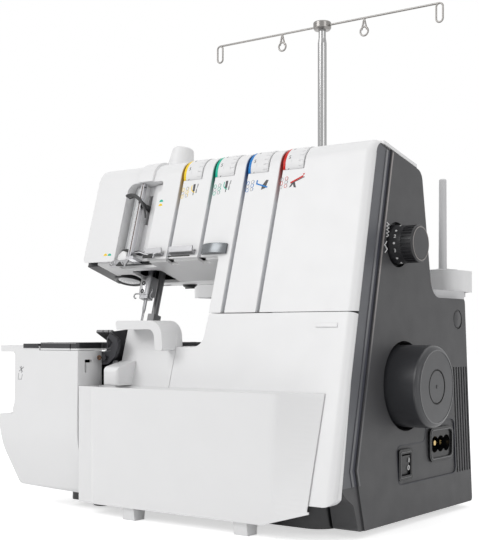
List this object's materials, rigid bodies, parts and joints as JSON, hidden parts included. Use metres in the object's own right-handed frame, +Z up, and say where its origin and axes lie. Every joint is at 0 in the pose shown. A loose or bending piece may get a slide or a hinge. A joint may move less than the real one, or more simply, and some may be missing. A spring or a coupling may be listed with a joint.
{
  "type": "serger overlock machine",
  "caption": "Overlock sewing machine with tension dials, looper compartment behind a folding cover, waste tray, free-arm cover, handwheel and telescopic thread stand.",
  "frame": {"origin": "centre of the bounding box on the table surface", "axes": "+X to the operator's right along the machine, +Y away from the operator, +Z up"},
  "size_m": [0.3508, 0.269, 0.434],
  "materials": {
    "white_plastic": "satin moulded ABS",
    "dark_plastic": "fine textured ABS",
    "black_plastic": "moulded",
    "rubber": "moulded",
    "cast_frame": "die-cast",
    "steel": "ground",
    "chrome_steel": "polished",
    "dark_steel": "blackened",
    "bed_paint": "satin",
    "belt": "moulded",
    "grey_plastic": "moulded",
    "pin_brass": "nickel-free brass",
    "dial_yellow": "white with a yellow ring",
    "dial_green": "white with a green ring",
    "dial_blue": "white with a blue ring",
    "dial_red": "white with a red ring",
    "lamp_lens": "frosted"
  },
  "bodies": {
    "root": {"top_front_cover": "white_plastic", "side_cover": "dark_plastic", "rear_cover": "dark_plastic", "head_end_cover": "dark_plastic", "head_bottom_cover": "white_plastic", "column_side_cover": "white_plastic", "base_cover": "dark_plastic", "base_pan": "black_plastic", "rubber_feet": "rubber", "base_frame": "cast_frame", "waste_chute": "white_plastic", "cloth_plate": "bed_paint", "needle_plate": "steel", "bed_cover": "white_plastic", "drive_motor": "cast_frame", "drive_belt": "belt", "switch_bezel": "black_plastic", "mains_inlet": "black_plastic", "inlet_pins": "pin_brass", "dial_rod": "steel", "lower_knife": "steel", "take_up_guide": "chrome_steel", "head_thread_guides": "chrome_steel", "looper_thread_guides": "steel", "spool_stand": "white_plastic", "stand_bracket": "grey_plastic", "spool_pins": "grey_plastic", "mast_base": "chrome_steel", "work_lamp": "lamp_lens"},
    "drive": {"main_shaft": "steel", "main_pulley": "black_plastic", "handwheel": "dark_plastic", "handwheel_cap": "dark_plastic"},
    "motor_rotor": {"motor_pulley": "steel"},
    "length_dial": {"stitch_length_dial": "black_plastic"},
    "width_knob": {"seam_width_knob": "white_plastic"},
    "pressure": {"pressure_knob": "white_plastic"},
    "rocker": {"power_rocker": "black_plastic"},
    "dial_1": {"left_needle_dial": "dial_yellow"},
    "dial_2": {"right_needle_dial": "dial_green"},
    "dial_3": {"upper_looper_dial": "dial_blue"},
    "dial_4": {"lower_looper_dial": "dial_red"},
    "needle_unit": {"needle_bar": "chrome_steel", "needle_clamp": "steel", "needles": "chrome_steel"},
    "presser_unit": {"presser_bar": "dark_steel", "presser_foot": "dark_steel"},
    "lifter": {"presser_lifter": "black_plastic"},
    "take_up": {"take_up_lever": "black_plastic"},
    "knife": {"upper_knife": "dark_steel"},
    "looper_low": {"lower_looper": "steel"},
    "looper_up": {"upper_looper": "steel"},
    "feed": {"feed_dogs": "steel"},
    "tray": {"waste_tray": "white_plastic"},
    "cover_slide": {"looper_cover_hinge": "steel"},
    "cover": {"looper_cover": "white_plastic"},
    "arm_cover": {"free_arm_cover": "white_plastic"},
    "mast_lower": {"mast_tube": "chrome_steel"},
    "mast_upper": {"mast_top": "chrome_steel"},
    "guide": {"thread_guide_bar": "chrome_steel"}
  },
  "joints": [
    {"name": "main_shaft_spin", "type": "hinge", "parent": "root", "child": "drive", "pos_m": [0.1135, -0.0179, 0.104], "axis": [1, 0, 0], "continuous": true},
    {"name": "motor_spin", "type": "hinge", "parent": "root", "child": "motor_rotor", "pos_m": [0.1135, 0.0515, 0.052], "axis": [1, 0, 0], "continuous": true},
    {"name": "stitch_length_turn", "type": "hinge", "parent": "root", "child": "length_dial", "pos_m": [0.1535, -0.0225, 0.21], "axis": [1, 0, 0], "range_deg": [-120, 120]},
    {"name": "seam_width_turn", "type": "hinge", "parent": "root", "child": "width_knob", "pos_m": [-0.1515, -0.1145, 0.104], "axis": [0, 1, 0], "range_deg": [-150, 150]},
    {"name": "pressure_turn", "type": "hinge", "parent": "root", "child": "pressure", "pos_m": [-0.065, -0.0245, 0.28374], "axis": [0, 0.2223, 0.975], "range_deg": [-180, 180]},
    {"name": "power_rock", "type": "hinge", "parent": "root", "child": "rocker", "pos_m": [0.14868, -0.023, 0.0455], "axis": [0, 1, 0], "range_deg": [-16, 0]},
    {"name": "tension_1_turn", "type": "hinge", "parent": "root", "child": "dial_1", "pos_m": [-0.0265, -0.04079, 0.27104], "axis": [1, 0, 0], "range_deg": [-150, 150]},
    {"name": "tension_2_turn", "type": "hinge", "parent": "root", "child": "dial_2", "pos_m": [-0.0265, -0.04079, 0.27104], "axis": [1, 0, 0], "range_deg": [-150, 150]},
    {"name": "tension_3_turn", "type": "hinge", "parent": "root", "child": "dial_3", "pos_m": [-0.0265, -0.04079, 0.27104], "axis": [1, 0, 0], "range_deg": [-150, 150]},
    {"name": "tension_4_turn", "type": "hinge", "parent": "root", "child": "dial_4", "pos_m": [-0.0265, -0.04079, 0.27104], "axis": [1, 0, 0], "range_deg": [-150, 150]},
    {"name": "needle_stroke", "type": "slide", "parent": "root", "child": "needle_unit", "axis": [0, -0.2768, -0.9609], "range_m": [-0.002, 0.024]},
    {"name": "presser_lift", "type": "slide", "parent": "root", "child": "presser_unit", "axis": [0, 0.2768, 0.9609], "range_m": [0, 0.006]},
    {"name": "lifter_turn", "type": "hinge", "parent": "root", "child": "lifter", "pos_m": [-0.0485, -0.0105, 0.198], "axis": [1, 0, 0], "range_deg": [0, 20.5]},
    {"name": "take_up_swing", "type": "hinge", "parent": "root", "child": "take_up", "pos_m": [-0.0745, -0.0225, 0.232], "axis": [1, 0, 0], "range_deg": [-10, 10]},
    {"name": "upper_knife_swing", "type": "hinge", "parent": "root", "child": "knife", "pos_m": [-0.0665, -0.0945, 0.1], "axis": [1, 0, 0], "range_deg": [0, 6]},
    {"name": "lower_looper_swing", "type": "hinge", "parent": "root", "child": "looper_low", "pos_m": [-0.0555, -0.0445, 0.056], "axis": [0, 1, 0], "range_deg": [-8, 14]},
    {"name": "upper_looper_swing", "type": "hinge", "parent": "root", "child": "looper_up", "pos_m": [-0.0785, -0.0295, 0.06], "axis": [0, 1, 0], "range_deg": [-8, 8]},
    {"name": "feed_stroke", "type": "slide", "parent": "root", "child": "feed", "axis": [0, 1, 0], "range_m": [-0.002, 0.002]},
    {"name": "waste_tray_pull", "type": "slide", "parent": "root", "child": "tray", "axis": [0, -1, 0], "range_m": [0, 0.15]},
    {"name": "looper_cover_unlatch", "type": "slide", "parent": "root", "child": "cover_slide", "axis": [1, 0, 0], "range_m": [0, 0.008]},
    {"name": "looper_cover_fold", "type": "hinge", "parent": "cover_slide", "child": "cover", "pos_m": [0.0735, -0.1208, 0.0315], "axis": [1, 0, 0], "range_deg": [0, 52]},
    {"name": "arm_cover_pull", "type": "slide", "parent": "root", "child": "arm_cover", "axis": [-1, 0, 0], "range_m": [0, 0.05]},
    {"name": "mast_lower_slide", "type": "slide", "parent": "root", "child": "mast_lower", "axis": [0, 0, -1], "range_m": [0, 0.095]},
    {"name": "mast_upper_slide", "type": "slide", "parent": "mast_lower", "child": "mast_upper", "axis": [0, 0, -1], "range_m": [0, 0.006]},
    {"name": "guide_bar_turn", "type": "hinge", "parent": "mast_upper", "child": "guide", "pos_m": [-0.0065, 0.112, 0.43], "axis": [0, 0, 1], "range_deg": [-90, 90]}
  ],
  "couplings": [
    {"joint": "motor_spin", "follows": "main_shaft_spin", "ratio": 3.25},
    {"joint": "lifter_turn", "follows": "presser_lift", "rad_per_m": 58.178},
    {"joint": "looper_cover_fold", "follows": "waste_tray_pull", "rad_per_m": 5.8178}
  ]
}
